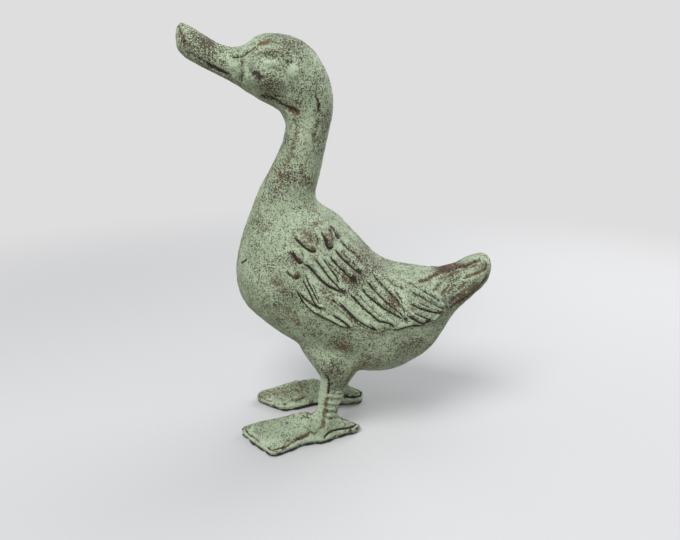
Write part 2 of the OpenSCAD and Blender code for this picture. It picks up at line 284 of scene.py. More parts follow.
class Relief:
    """Height along the normal, and masks for the finish and for painted highlights and painted shade, built
    up over the vertices.
    """

    def __init__(self, points, normals):
        self.p = points
        self.n = normals
        self.xz = points[:, [0, 2]]
        self.side = ease((np.abs(normals[:, 1]) - 0.12) / 0.4)
        self.height, self.cut, self.swell, self.dark, self.rust, self.light = np.zeros((6, len(points)))

    def near(self, points, margin):
        low, high = np.min(points, axis=0) - margin, np.max(points, axis=0) + margin
        return np.nonzero(((self.xz > low) & (self.xz < high)).all(axis=1))[0]

    def along(self, points, reach):
        """The vertices near a line, their distance to its left and their share of the way along it."""
        track = smooth_line(points)
        found = self.near(track, reach)
        q = self.xz[found]
        best = np.full(len(found), np.inf)
        left = np.zeros(len(found))
        share = np.zeros(len(found))
        for k, (a, b) in enumerate(zip(track, track[1:])):
            way = (b - a) / max(np.linalg.norm(b - a), 1e-9)
            t = np.clip((q - a) @ way / max(np.linalg.norm(b - a), 1e-9), 0.0, 1.0)
            off = q - a - t[:, None] * (b - a)
            d = np.linalg.norm(off, axis=1)
            closer = d < best
            best[closer] = d[closer]
            left[closer] = np.where(off @ [-way[1], way[0]] < 0, -d, d)[closer]
            share[closer] = ((k + t) / (len(track) - 1))[closer]
        return found, left, share

    def tint(self, found, amount, dark=0.0, rust=0.0, light=0.0):
        for mask, strength in ((self.dark, dark), (self.rust, rust), (self.light, light)):
            mask[found] = np.maximum(mask[found], strength * amount)

    def wash(self, amount, dark=0.0, rust=0.0, light=0.0):
        """Tints the whole skin by an amount at each vertex."""
        self.tint(slice(None), amount, dark, rust, light)

    def groove(self, points, width, depth, dark=0.0, rust=0.0, ridge=0.0, taper=0.2, where=None):
        """A groove along a line, fading at its ends, tinted with grime, painted shade and rust, with a ridge
        on the line's left that carries a painted highlight.
        """
        found, left, share = self.along(points, GROOVE_REACH)
        ends = (self.side if where is None else where)[found]
        ends = ends * ease(share / taper + END_LEVEL) * ease((1.0 - share) / taper + END_LEVEL)
        close = np.exp(-((left / (CUT_SHARE * width)) ** 2)) * ends
        self.cut[found] = np.maximum(self.cut[found], depth * close)
        self.tint(found, np.exp(-((left / (STAIN_AND_SHADE_SHARE * width)) ** 2)) * ends, dark, rust)
        if ridge:
            crest = np.exp(-(((left - RIDGE_AT) / RIDGE_WIDTH) ** 2)) * ends
            self.swell[found] = np.maximum(self.swell[found], ridge * crest)
            self.tint(found, crest, light=RIDGE_LIGHT)

    def lip(self, points, height, fade):
        """A raised edge along a line, which dies away to the line's left."""
        found, left, share = self.along(points, fade)
        rise = ease((left + 0.6) / 1.4) * (1.0 - ease(left / fade))
        self.height[found] += (height * rise * ease(share / LIP_TAPER) * ease((1.0 - share) / LIP_TAPER)
                               * self.side[found])

    def bump(self, centre, size, turn, height, dark=0.0, rust=0.0, light=0.0):
        """A rounded, oval bump or, with a negative height, a hollow."""
        a = math.radians(turn)
        axes = np.array([[math.cos(a), math.sin(a)], [-math.sin(a), math.cos(a)]])
        found = self.near([centre], max(size))
        r = np.linalg.norm((self.xz[found] - centre) @ axes.T / size, axis=1)
        full = np.clip(1.0 - r * r, 0.0, 1.0) ** 2 * self.side[found]
        self.height[found] += height * full
        self.tint(found, full, dark, rust, light)


# Lines cut into the wing, each from a feather's root to its tip: (points, width, depth, dark, rust)
WING_LINES = [
    # Short feathers over the shoulder
    ([(-27, 156.5), (-23, 153), (-19, 149.5), (-15.5, 147), (-12.5, 146), (-10.3, 147.5)],
     0.7, 0.9, 0.8, 0.7),
    ([(-12, 157), (-10.3, 153), (-9.6, 149)], 0.6, 0.7, 0.3, 0.6),
    ([(-10, 158), (-7, 153.5), (-4.8, 149), (-3, 147), (-1.2, 147.3), (-0.8, 149.5)], 0.8, 1.0, 0.85, 0.6),
    ([(-5.5, 158.5), (-2.8, 154.5), (-0.9, 150)], 0.6, 0.7, 0.35, 0.7),
    ([(-5.5, 161), (-2, 157), (0.3, 153), (2.3, 151.7), (3.3, 153)], 0.7, 0.9, 0.8, 0.5),
    ([(-1, 159.5), (1.5, 156.5), (3.2, 153.2)], 0.6, 0.7, 0.35, 0.7),
    ([(-28, 147.5), (-25, 144), (-22.5, 141), (-20.5, 139.7), (-18.8, 141)], 0.7, 0.9, 0.8, 0.6),
    ([(-26, 147.5), (-23.5, 143.5), (-21.5, 140.5)], 0.5, 0.5, 0.7, 0.4),
    ([(-20.5, 147), (-19, 144), (-18.7, 141)], 0.5, 0.5, 0.4, 0.5),
    ([(-30, 135.5), (-26.5, 131.5), (-23, 130), (-21, 132)], 0.8, 0.9, 0.5, 0.9),
    # Upper row
    ([(-18.5, 139.5), (-15, 137), (-11.5, 133.5), (-8, 129.5), (-4, 126), (1, 122.8), (7.5, 120)],
     0.75, 1.2, 1.05, 0.2),
    ([(-13, 143), (-9.5, 139.5), (-6, 135), (-2.5, 130.5), (1, 126.5), (5.5, 121.8), (8, 120)],
     0.55, 0.9, 0.9, 0.0),
    ([(-7.5, 142.5), (-4, 138), (0, 132.8), (3, 128.5), (4.5, 125.5)], 0.55, 0.8, 0.75, 0.0),
    ([(-6, 141.5), (-2, 137.5), (3, 132.5), (7.5, 128), (10, 126.5)], 0.5, 0.5, 0.45, 0.3),
    ([(-2.8, 143.5), (0, 139.5), (4, 135.2), (8, 131.5), (11.5, 128.2), (14.5, 126)], 0.65, 1.1, 1.0, 0.0),
    ([(0, 147.5), (3, 143), (7.5, 138.2), (12, 134), (16, 131), (19, 129)], 0.6, 0.9, 0.85, 0.0),
    ([(3, 151), (7, 146.5), (12, 142), (16.5, 137.5), (20, 133)], 0.6, 0.8, 0.55, 0.5),
    ([(6.5, 149), (11, 144.8), (16, 140.5), (20.5, 135.5), (23, 132)], 0.6, 0.6, 0.45, 0.5),
    ([(3, 145.5), (8, 140.5), (12.5, 136), (16.5, 132.5)], 0.5, 0.5, 0.4, 0.2),
    # Front, below the shoulder, and the wing's front edge, whose dark line is rust and painted shadow under
    # the edge
    ([(-19.5, 131), (-17.5, 126.5), (-15, 122), (-12.5, 117), (-10, 113), (-7.5, 111)], 0.6, 0.8, 0.75, 0.4),
    ([(-18, 133.5), (-15, 127), (-11.8, 121), (-9.5, 116.5), (-7.5, 113)], 0.55, 0.8, 0.8, 0.2),
    ([(-13.5, 128), (-10.5, 122), (-8, 116), (-6.5, 112)], 0.5, 0.5, 0.35, 0.0),
    ([(-21.5, 122), (-18, 118), (-14, 114.5), (-9.5, 111.5), (-4.5, 109.8)], 0.8, 0.8, 0.5, 1.0),
    ([(-24.5, 125), (-21.5, 119), (-18, 113.5), (-13.5, 108.5), (-7, 104.5), (0, 101), (6, 97.5), (13, 95.8)],
     1.0, 1.3, 1.0, 0.9),
    # Lower row
    ([(0, 106.5), (5, 103.2), (9.5, 99.8), (13, 96)], 0.65, 0.9, 1.0, 0.0),
    ([(-3, 118.5), (2, 114.5), (8, 109.5), (14, 103.5), (19.5, 98.5), (26, 94.5)], 0.55, 0.7, 0.6, 0.0),
    ([(3, 115.5), (9, 110), (16, 103), (22, 98.8), (27, 96.3), (30.3, 93.8)], 0.65, 1.1, 1.0, 0.0),
    ([(24, 100.5), (27.5, 97.5), (30, 94)], 0.55, 0.6, 0.7, 0.0),
    ([(10, 120), (14.5, 116), (20, 110.5), (26, 105.5), (31, 101.3), (36, 100), (39.5, 98.5), (40.5, 95.5)],
     0.65, 1.0, 0.95, 0.0),
    ([(13, 121.5), (19, 115.5), (25, 110), (31, 105), (37, 102)], 0.5, 0.5, 0.45, 0.2),
    ([(17.5, 123.5), (22, 118), (28, 113), (35, 108.5), (42, 104.5), (47.5, 101)], 0.6, 0.9, 0.85, 0.2),
    ([(20, 127), (26, 121), (32, 115.3), (38, 110.3), (44, 105.8), (48.3, 101.5)], 0.6, 0.8, 0.7, 0.3),
    ([(23, 130), (30, 124), (36, 118.8), (42, 113.5), (46, 109), (48.5, 102.5)], 0.6, 0.7, 0.55, 0.5),
    ([(40, 119), (43.5, 115), (46.5, 110.5)], 0.6, 0.6, 0.4, 0.8),
    # Rear row, and the edge below it, whose dark line is painted shadow under the wing's edge
    ([(49, 104.5), (54, 101), (58.5, 98.2), (62, 98.6), (66, 100)], 0.7, 1.1, 1.0, 0.0),
    ([(53, 105.5), (58, 103), (62.5, 100.8), (65.5, 100)], 0.55, 0.7, 0.7, 0.3),
    ([(50, 112), (56, 108.5), (62, 106), (68, 103.8), (73, 102.5)], 0.6, 0.9, 0.8, 0.4),
    ([(54, 112.5), (60, 109.5), (66, 106.5), (72, 104.5)], 0.5, 0.5, 0.45, 0.2),
    ([(50, 118.5), (56, 115.3), (64, 111), (71, 107), (75, 105)], 0.55, 0.7, 0.6, 0.4),
    ([(50, 121), (58, 118), (66, 114), (73, 109.5)], 0.55, 0.6, 0.5, 0.4),
    ([(40.5, 96), (42, 94.5), (48, 96), (54, 96.8), (62, 96), (68, 98), (75, 102)], 0.8, 1.1, 1.0, 0.2),
    # Soft lines towards the back
    ([(26, 131), (33, 125.5), (41, 121), (48, 118)], 0.55, 0.5, 0.4, 0.3),
    ([(30, 130), (38, 125.5), (47, 122), (56, 120)], 0.55, 0.5, 0.35, 0.4),
    ([(20, 138), (26, 132.5), (34, 128), (44, 125)], 0.6, 0.4, 0.3, 0.4),
]
# The wing's lower edge, which stands out from the belly
WING_EDGE = [(-25, 124), (-20, 115), (-13, 108.5), (-5, 103), (4, 99), (13, 96), (21, 95.5), (30, 93.5),
             (36, 96), (41, 95), (50, 96), (58, 95.2), (66, 97), (76, 103)]
# Feather tips and spots on the wing, raised in places, with grime, painted shade below the raised tips, and
# rust: (centre, size, turn, height, dark, rust)
WING_SPOTS = [
    ((-18, 153.5), (12, 7), -45, 1.6, 0.1, 0.55), ((-13.5, 148), (6, 3), -30, 0.0, 0.4, 0.8),
    ((-5, 153), (11, 5.5), -55, 1.6, 0.1, 0.55), ((-3, 149), (5.5, 3.5), -50, 0.0, 0.45, 0.6),
    ((-1.5, 157), (9, 4.5), -50, 1.3, 0.1, 0.55), ((1.5, 153.3), (4.5, 2.8), -50, 0.0, 0.5, 0.6),
    ((-24.5, 143.5), (9, 6), -40, 1.2, 0.1, 0.55), ((-21, 140.8), (4.5, 3), -30, 0.0, 0.55, 0.7),
    ((-26, 134), (9, 6), -35, 0.8, 0.0, 0.35), ((-23, 132), (5.5, 4.5), -35, 0.0, 0.35, 0.9),
    ((12.8, 127), (5, 2.8), -35, 0.4, 1.1, 0.0), ((6.8, 121), (3, 2), -20, 0.3, 1.0, 0.0),
    ((7, 132), (8, 3.5), -45, 0.3, 0.35, 0.5), ((17, 130.5), (3.2, 2.2), -50, 0.3, 0.9, 0.3),
    ((-7.5, 110.8), (4.5, 2.2), -20, 0.2, 0.6, 0.9), ((1.5, 115.5), (3.5, 1.8), -25, 0.0, 0.5, 0.5),
    ((-12, 161.5), (9, 2.4), -3, 0.0, 0.3, 0.7), ((42, 112.5), (8, 5), -50, 0.0, 0.3, 0.6),
    ((11.5, 97), (3.5, 2), -30, 0.2, 0.8, 0.0), ((48, 102), (2.6, 2), -50, 0.3, 0.9, 0.5),
    ((63, 99.5), (5.5, 2), -5, 0.3, 0.7, 0.7), ((71, 103.8), (4.5, 2.2), -10, 0.3, 0.5, 0.9),
]
# How the values in WING_LINES are used: a factor on the depth, and (least, factor) for the dark, which is
# grime and painted shade, and for the rust
LINE_DEPTH = 1.2
LINE_DARK = (0.2, 0.85)
LINE_RUST = (0.25, 0.6)
# Turns (x, z) into distances along and across the feathers
FEATHER_WAY = np.array([[0.74, 0.67], [-0.67, 0.74]])
# Height of the barbs, and how long and how thick they and the streaks of stain along them are
BARB_HEIGHT = 0.16
BARB_LENGTH = 5.0
BARB_SIZE = 1.5
STREAK_LENGTH = 6.0
STREAK_SIZE = 1.3
# How slowly barbs and streaks change through the duck's width
BARB_DEPTH = 9.0


def model_wing(r):
    """The raised lower edge, the feathers with their stains and painted shade, and fine barbs along them."""
    r.lip(WING_EDGE, 1.2, 26.0)
    for points, width, depth, dark, rust in WING_LINES:
        dark = LINE_DARK[0] + LINE_DARK[1] * dark
        rust = LINE_RUST[0] + LINE_RUST[1] * rust
        r.groove(points, width, LINE_DEPTH * depth, dark, rust, ridge=depth)
    for centre, size, turn, height, dark, rust in WING_SPOTS:
        r.bump(centre, size, turn, height, dark, rust)
    x, z = r.xz.T
    inside = ease((x + 20.0) / 14.0) * ease((84.0 - x) / 12.0)
    inside = inside * ease((z - 95.0) / 4.0) * ease((150.0 - z - 0.45 * x) / 14.0) * r.side
    along, across = (r.xz @ FEATHER_WAY).T
    through = r.p[:, 1] / BARB_DEPTH
    barbs = value_noise(np.stack([along / BARB_LENGTH, across, through], axis=1), BARB_SIZE, 4)
    r.height += BARB_HEIGHT * barbs * inside
    streaks = value_noise(np.stack([along / STREAK_LENGTH, across, through], axis=1), STREAK_SIZE, 7)
    r.wash(inside * ease((streaks - 0.1) / 0.5), rust=0.5)


def model_tail(r):
    """A stained rim along the back and round the tip, a crease inside it, and a band along the lower edge."""
    tail = ease((r.xz[:, 0] - 50.0) / 8.0)
    r.groove([(54, 121.5), (61, 122), (68, 123.6), (75, 125.6), (81, 127.6), (87, 130), (94, 133.2),
              (100, 135.4)], 0.9, 0.5, dark=0.5, rust=0.95, taper=0.1, where=tail)
    r.groove([(66, 121.5), (73, 123), (80, 125.3), (87, 128.5), (94, 131.7), (100, 133.5)], 0.7, 0.6,
             dark=0.2, rust=0.7)
    r.groove([(86, 123.5), (92, 126.5), (98, 128.7), (102, 130.5), (102.5, 133)], 1.1, 0.8,
             dark=0.35, rust=1.1)
    r.bump((100, 132), (6, 4), 40, 0.0, dark=0.2, rust=0.6)
    r.groove([(78, 109.5), (85, 113.5), (92, 119), (100, 126)], 0.8, 0.6, dark=0.3, rust=0.6)
    r.groove([(77, 103.5), (86, 108), (93, 113), (100, 120), (104, 126)], 1.5, 0.7,
             dark=0.65, rust=0.6, taper=0.1)
    r.bump((94.5, 119.5), (11, 5), 40, 0.0, dark=0.2, rust=0.8)
    r.bump((86, 111.5), (11, 5), 38, 0.0, dark=0.2, rust=0.7)
    # Short feathers on the side of the tail
    for x, z, reach in ((66, 116, 5), (71, 113.5, 7), (77, 115.5, 5), (83, 117, 6)):
        r.groove([(x, z), (x + 0.6 * reach, z + 0.5 * reach), (x + reach, z + reach)], 0.9, 0.8,
                 dark=0.25, rust=0.9, ridge=0.5)


def model_head(r):
    # Bill: the mouth, the edge of the nail at its tip, and the edge of the feathers at its root
    r.groove([(-101, 271.5), (-92, 267.5), (-85, 263.3)], 0.9, 0.6, dark=0.45)
    r.groove([(-86, 263.5), (-81, 261), (-76, 258.3), (-69, 255.5)], 1.1, 1.0, dark=1.0, rust=0.4)
    r.groove([(-73, 253), (-69, 255.5), (-66.5, 259.5)], 1.2, 0.6, dark=0.3)
    r.groove([(-103, 288), (-101, 283), (-98.5, 277.5), (-97, 272.5)], 1.3, 0.5, dark=0.35, rust=0.8)
    r.groove([(-70, 269), (-66, 267), (-61, 267), (-56, 269.5), (-52, 271.5), (-48, 274)], 0.8, 0.8,
             dark=0.62, rust=0.4)
    r.groove([(-60, 266), (-60.5, 259), (-61, 250)], 1.1, 0.8, dark=0.5, rust=0.4)
    # Two raised places at the bill's root carry painted highlights
    r.bump((-56.5, 258), (2.6, 11), 0, 0.6, light=0.8)
    r.bump((-66, 262), (6, 4.5), 15, 0.4, light=0.8)
    # Cheek, brow and eye, with painted highlights on the eye and temple and painted shade in the hollows
    # below and behind the eye
    r.bump((-43, 252.5), (16, 10), -10, 3.6)
    r.groove([(-55, 252), (-53.5, 259), (-47, 257), (-38, 258.5), (-30, 255.5)], 1.5, 0.8, dark=0.3)
    r.bump((-49, 256.5), (9, 4), -28, -0.4, dark=0.75)
    r.bump((-40, 269.5), (15, 5), 0, 1.8)
    r.groove([(-46, 266), (-39, 266.8), (-32, 265), (-28, 262)], 1.2, 0.8, dark=0.35, rust=0.2)
    r.bump((-40.5, 263), (7, 3.2), -8, 1.2, light=1.1)
    r.bump((-26, 258), (6, 5.5), 20, 1.0, light=1.1)
    r.bump((-28.5, 264), (5, 4), 0, -0.7, dark=0.55)
    # Throat and nape
    r.groove([(-51, 243.5), (-42, 241.3), (-33, 236.5), (-22, 231.5)], 1.6, 1.1, dark=0.55, rust=0.8)
    r.groove([(-48, 245.5), (-40, 243.5), (-31, 242)], 1.2, 0.4, dark=0.45, rust=0.4)
    r.bump((-28, 234), (9, 3.6), -25, -0.5, dark=0.55, rust=1.3)
    r.groove([(-13.5, 245), (-11.5, 239), (-11, 231)], 0.9, 0.7, dark=0.75, rust=0.3)
    r.groove([(-11, 231), (-12.5, 225), (-14.5, 219), (-14.5, 211)], 1.6, 0.6, dark=0.25, rust=0.75)
    r.bump((-45.5, 275), (9, 3.8), 15, 0.0, dark=0.2, rust=0.95)


def model_neck(r):
    """Two stained furrows, a patch of painted light between them, and a scratch on the left of the breast."""
    r.groove([(-25, 230), (-26, 221), (-28, 212), (-32, 203), (-37, 195), (-37, 184)], 2.6, 0.7,
             dark=0.15, rust=0.6)
    r.groove([(-19, 206), (-22, 198), (-23, 190), (-20, 184)], 2.2, 0.5, dark=0.2, rust=0.5)
    # A patch of painted light on the back of the neck
    r.bump((-19, 219), (9, 22), -17, 0.0, light=0.5)
    r.groove([(-65, 133), (-58, 138.5)], 0.7, 0.4, dark=1.1, taper=0.3, where=r.p[:, 1] < 0.0)


# The fin's rear edge, up the leg: (z, x)
FIN_EDGE = [(8, -8), (20, -8), (30, -7), (37, -5), (44, -4), (52, -4), (58, -6)]
# Height of the leg's top ring, the distance between rings, how they slope, and how far they stand out
RING_TOP = 37.5
RING_PITCH = 5.4
RING_SLOPE = 0.22
RING_HEIGHT = 0.32


def model_leg(r):
    """A smooth fin in front with a painted highlight, rings across the outer face of the shank behind it with
    painted highlights and painted shade, and a hollow above them darkened with painted shade.
    """
    x, z = r.xz.T
    outer = ease((np.abs(r.p[:, 1]) - 20.0) / 3.0) * r.side
    split = np.interp(z, *zip(*FIN_EDGE))
    behind = ease(x - split + 0.5) * outer
    shank = ease((z - 14.0) / 3.0) * ease((39.5 - z) / 1.5) * behind
    slope = z + RING_SLOPE * (x - split)
    wave = np.cos((slope - RING_TOP) * 2.0 * math.pi / RING_PITCH)
    r.height += (RING_HEIGHT * wave - 0.2) * shank
    # Painted highlights on the rings' crests and painted shade between them
    r.wash(1.2 * shank * ease(wave), light=1.0)
    r.wash(0.42 * shank * ease(-wave), dark=1.0)
    # A hollow above the rings, darkened with painted shade
    hollow = ease((z - 38.0) / 2.0) * ease((56.0 - z) / 8.0) * behind
    r.height -= 1.5 * hollow
    r.wash(hollow, dark=0.3)
    # The dark lines at the fin's rear edge and at the back of the thigh are painted shade as well as rust;
    # the brown line down the shank is rust
    r.groove([(-6, 58), (-4.2, 52), (-4.2, 44), (-5, 38)], 0.8, 0.6, dark=0.7, rust=0.5, taper=0.08)
    r.groove([(-5, 36), (-6.5, 30), (-7.5, 24), (-8.3, 17), (-8, 11)], 1.9, 0.4,
             dark=0.15, rust=0.8, taper=0.08)
    r.groove([(13, 58), (10.5, 50), (8.5, 44), (6.5, 38)], 1.3, 0.4, dark=0.45, rust=0.5, taper=0.15)
    fin = ease(split - x) * ease((z - 16.0) / 8.0) * ease((56.0 - z) / 6.0) * outer
    r.height += 0.5 * fin
    # A painted highlight on the fin
    r.wash(fin, light=1.0)


# Height of the top of a foot at the ankle, and of the top of its rim
FOOT_TOP = 24.0
RIM_TOP = 7.0
# Where the toes' ridges start, as (x, distance from the mid-plane), and where each ends, with its height
ANKLE = np.array([-12.0, 26.0])
TOES = [((-70, 28), 0.9), ((-41, 52), 0.7), ((-44, 11), 0.7)]
# A distance for points that aren't on a foot
FAR = 99.0
# Line along which the right foot's web gets painted shade and brown rust, and how brown it is
SHADE_AND_RUST_AT = 22.0
RIGHT_WEB_BROWN = 0.5


def inside_outline(r):
    """How far in from the foot's outline each point of a foot lies, seen from above; far for the rest."""
    on_foot = np.nonzero((r.p[:, 2] < FOOT_TOP) & (r.n[:, 2] > 0.1))[0]
    rim = r.p[(r.p[:, 2] < RIM_TOP) & (np.abs(r.n[:, 2]) < 0.35)]
    tree = KDTree(len(rim))
    for k, (x, y, z) in enumerate(rim):
        tree.insert((x, y, 0.0), k)
    tree.balance()
    far = np.full(len(r.p), FAR)
    for k in on_foot:
        far[k] = tree.find((r.p[k, 0], r.p[k, 1], 0.0))[2]
    return far


def model_feet(r):
    """Ridges along the toes, a stained crease inside the web's outline, painted shade on the hind toe's
    creases and the right web, and a hammered rim with painted shadow at its foot and a painted highlight
    above.
    """
    x, y, z = r.p.T
    foot = ease((FOOT_TOP - z) / 4.0)
    up = ease((r.n[:, 2] - 0.3) / 0.3) * foot
    q = np.stack([x, np.abs(y)], axis=1) - ANKLE
    for toe, tall in TOES:
        way = np.array(toe) - ANKLE
        t = np.clip(q @ way / (way @ way), 0.0, 1.0)
        d = np.linalg.norm(q - t[:, None] * way, axis=1)
        on = up * ease((-10.0 - x) / 6.0) * ease(t / 0.2)
        r.height += tall * on * np.exp(-((d / 1.8) ** 2))
        r.wash(on * np.exp(-((d / 1.4) ** 2)), rust=0.35)
    inside = inside_outline(r) + 0.7 * value_noise(r.p, 6.0, 8) + 0.3 * value_noise(r.p, 2.5, 9)
    crease = np.exp(-(((inside - 1.6) / 0.7) ** 2)) * up
    broken = ease((value_noise(r.p, 9.0, 5) + 0.25) / 0.5)
    r.height -= 0.7 * crease
    r.wash(crease * broken, dark=0.4, rust=1.0)
    # The crease is deeper on the hind toe, and darker there with painted shade
    hind = crease * ease((x + 6.0) / 6.0)
    r.height -= 0.5 * hind
    r.wash(hind, dark=0.95)
    # Painted shade and brown rust along the right foot's web
    shade_and_rust = np.exp(-(((y - SHADE_AND_RUST_AT) / 7.0) ** 2)) * up * ease((-14.0 - x) / 8.0)
    r.wash(shade_and_rust, dark=0.1, rust=RIGHT_WEB_BROWN)
    # The crease along the near side of the left hind toe, dark with painted shade
    r.groove([(-8, 4.5), (-4, 7.5), (2, 7.8), (8, 6.8), (13, 7.5), (16, 9)], 0.8, 0.9,
             dark=1.1, rust=0.3, taper=0.1, where=ease(-r.n[:, 1] / 0.2) * ease((-8.0 - y) / 2.0))
    rim = ease((RIM_TOP - z) / 1.5) * ease((0.985 - np.abs(r.n[:, 2])) / 0.15)
    hammered = value_noise(r.p, 5.0, 6)
    r.height += 0.8 * rim * hammered
    r.height -= 0.5 * rim * np.exp(-(((z - 2.4) / 0.8) ** 2))
    # Painted shadow along the bottom of the rim, where it meets the floor
    r.wash(rim * ease((2.6 + 1.6 * hammered - z) / 1.4), dark=1.2)
    r.wash(rim * ease((np.abs(hammered) - 0.45) / 0.2), dark=0.5, rust=0.5)
    # A painted highlight on the upper part of the rim
    r.wash(rim * ease(z - 3.0), light=0.8)


# Brown stains on the breast below the wing, on the thigh and on the neck: (centre, size, turn)
STAINS = [
    ((-26, 102), (18, 9), -50), ((-36, 125), (13, 11), 0), ((6, 82), (15, 9), -20), ((-18, 186), (7, 10), 0),
    ((20, 66), (8, 16), -20),
]
# Depth and half width of the line where the castings meet
PARTING_DEPTH = 0.35
PARTING_WIDTH = 0.8


def model_skin(points, normals):
    """All the modelling, stains, painted highlights and painted shade on the skin."""
    r = Relief(points, normals)
    model_wing(r)
    model_tail(r)
    model_head(r)
    model_neck(r)
    model_leg(r)
    model_feet(r)
    for centre, size, turn in STAINS:
        r.bump(centre, size, turn, 0.0, rust=0.55)
    # Uneven hand-finished surface, less so on the feet, and flat soles
    soft = 1.0 - ease((12.0 - points[:, 2]) / 6.0)
    r.height += r.swell - r.cut
    r.height += 0.35 * value_noise(points, 17.0, 1) * soft + 0.20 * value_noise(points, 6.0, 2)
    r.height += 0.18 * value_noise(points, 2.8, 3) * soft
    r.height -= PARTING_DEPTH * np.exp(-((points[:, 1] / PARTING_WIDTH) ** 2))
    r.height *= ease((points[:, 2] - 0.15) / 0.6)
    return r


# Where dark specks crowd on the paint: (x, z, radius, strength)
SPECKS = [
    (-56, 168, 26, 0.5), (-62, 150, 18, 0.5), (-38, 192, 17, 0.82), (-42, 251, 11, 0.9), (-32, 271, 15, 0.8),
    (-86, 274, 20, 0.85), (-12, 250, 14, 0.5), (-17, 153, 8, 0.72), (-22, 190, 16, 0.5), (-24, 222, 10, 0.42),
    (-30, 118, 14, 0.6), (40, 112, 11, 0.9), (18, 132, 24, 0.85), (5, 82, 14, 0.75), (45, 75, 22, 0.5),
    (0, 62, 14, 0.65), (84, 114, 20, 0.85), (60, 108, 18, 0.8), (-28, 210, 9, 0.5), (-50, 120, 20, 0.5),
    (45, 145, 22, 0.75), (-4, 154, 7, 0.85), (-24, 143, 6, 0.85), (-46, 176, 16, 0.55),
]
# The least strength of specks, and what is taken off on the feet
SPECKS_EVERYWHERE = 0.38
FEWER_ON_FEET = 0.12


def speck_density(points):
    """How close together the dark specks lie at each point."""
    total = np.full(len(points), SPECKS_EVERYWHERE)
    for x, z, radius, strength in SPECKS:
        d = np.hypot(points[:, 0] - x, points[:, 2] - z) / radius
        total = np.maximum(total, strength * np.exp(-d * d))
    return total - FEWER_ON_FEET * ease((26.0 - points[:, 2]) / 10.0)


# Meshes

# Change of the stains over a face that calls for a finer mesh there, and how much rust counts in it
BUSY = 0.36
RUST_COUNTS = 0.5
# Distance in metres at which points are taken to be the same, or to lie on a plane
SAME = 1e-6


def link_object(name, data):
    obj = bpy.data.objects.new(name, data)
    bpy.context.scene.collection.objects.link(obj)
    return obj


def new_object(name, points, faces):
    mesh = bpy.data.meshes.new(name)
    mesh.from_pydata([tuple(p) for p in np.asarray(points) * MM], [], [tuple(f) for f in faces])
    mesh.validate()
    mesh.update()
    return link_object(name, mesh)


def vertex_normals(mesh):
    return read(mesh.vertex_normals, "vector", 3)


def refine(obj, chosen):
    """Halves the edges of the chosen faces, which are given as a mask."""
    bm = bmesh.new()
    bm.from_mesh(obj.data)
    edges = list({e for f in bm.faces if chosen[f.index] for e in f.edges})
    bmesh.ops.subdivide_edges(bm, edges=edges, cuts=1, use_grid_fill=True)
    bm.to_mesh(obj.data)
    bm.free()
    obj.data.update()


def detailed_faces(mesh):
    """A mask of the faces on the wing, face, tail, leg and foot."""
    x, y, z = (read(mesh.polygons, "center", 3) / MM).T
    y = np.abs(y)
    wing = (y > 8) & (x > -36) & (x < 80) & (z > 90) & (z < 166) & (z < 178 - 0.62 * x)
    face = (y > 3) & (z > 228) & (x < -14)
    tail = (x > 66) & (z > 100)
    leg = (y > 14) & (z < 54) & (x > -16) & (x < 20)
    return wing | face | tail | leg | (z < 9)


def busy_faces(mesh, values):
    """A mask of the faces over which a value at the vertices changes much."""
    at = values[read(mesh.loops, "vertex_index", kind=np.int64)]
    start = read(mesh.polygons, "loop_start", kind=np.int64)
    return np.maximum.reduceat(at, start) - np.minimum.reduceat(at, start) > BUSY


def set_finish(mesh, **masks):
    """Stores the masks that the paint reads."""
    for name, values in masks.items():
        layer = mesh.attributes.new(name, "FLOAT", "POINT")
        layer.data.foreach_set("value", np.clip(values, 0.0, 1.5).astype(np.float32))


def mark_bare(mesh, values):
    """Stores which faces are bare iron: those inside the castings and where they meet."""
    layer = mesh.attributes.new("bare", "FLOAT", "FACE")
    layer.data.foreach_set("value", np.asarray(values, dtype=np.float32))


def shade_flat_where_bare(mesh):
    bare = read(mesh.attributes["bare"].data, "value")
    mesh.polygons.foreach_set("use_smooth", bare == 0.0)


def half_of(whole, name, keep):
    """The part of the whole on one side of the mid-plane, closed there by a flat face."""
    bm = bmesh.new()
    bm.from_mesh(whole.data)
    geom = bm.verts[:] + bm.edges[:] + bm.faces[:]
    away = (0, -keep, 0)
    bmesh.ops.bisect_plane(bm, geom=geom, dist=SAME, plane_co=(0, 0, 0), plane_no=away, clear_outer=True)
    rim = [e for e in bm.edges if e.is_boundary]
    bmesh.ops.triangle_fill(bm, use_beauty=False, edges=rim, normal=away)
    bmesh.ops.recalc_face_normals(bm, faces=bm.faces[:])
    mesh = bpy.data.meshes.new(name)
    bm.to_mesh(mesh)
    bm.free()
    mark_bare(mesh, np.abs(read(mesh.polygons, "center", 3)[:, 1]) < SAME)
    return link_object(name, mesh)


# The inside of the castings

# Height of a screw's head, and the radii of its counterbore and of the hole below it
HEAD_HEIGHT = 3.5
BORE_RADIUS = 4.9
HOLE_RADIUS = 2.9
# How far the cutter stands out past the mid-plane and past the head, and its sides
PAST_PLANE = 1.0
PAST_HEAD = 9.0
BORE_SIDES = 48
# Share of bare iron on the walls of a screw's bore, where the paint is thin
BORE_BARE = 0.5
# How far the boxes that take a casting apart stand out from it
ROOM = 20.0


def bare_solid(points, faces, bare=1.0):
    """A closed mesh of bare iron."""
    obj = new_object("bare_solid", points, faces)
    bm = bmesh.new()
    bm.from_mesh(obj.data)
    bmesh.ops.remove_doubles(bm, verts=bm.verts[:], dist=SAME)
    bmesh.ops.recalc_face_normals(bm, faces=bm.faces[:])
    bm.to_mesh(obj.data)
    bm.free()
    mark_bare(obj.data, np.full(len(obj.data.polygons), bare))
    return obj


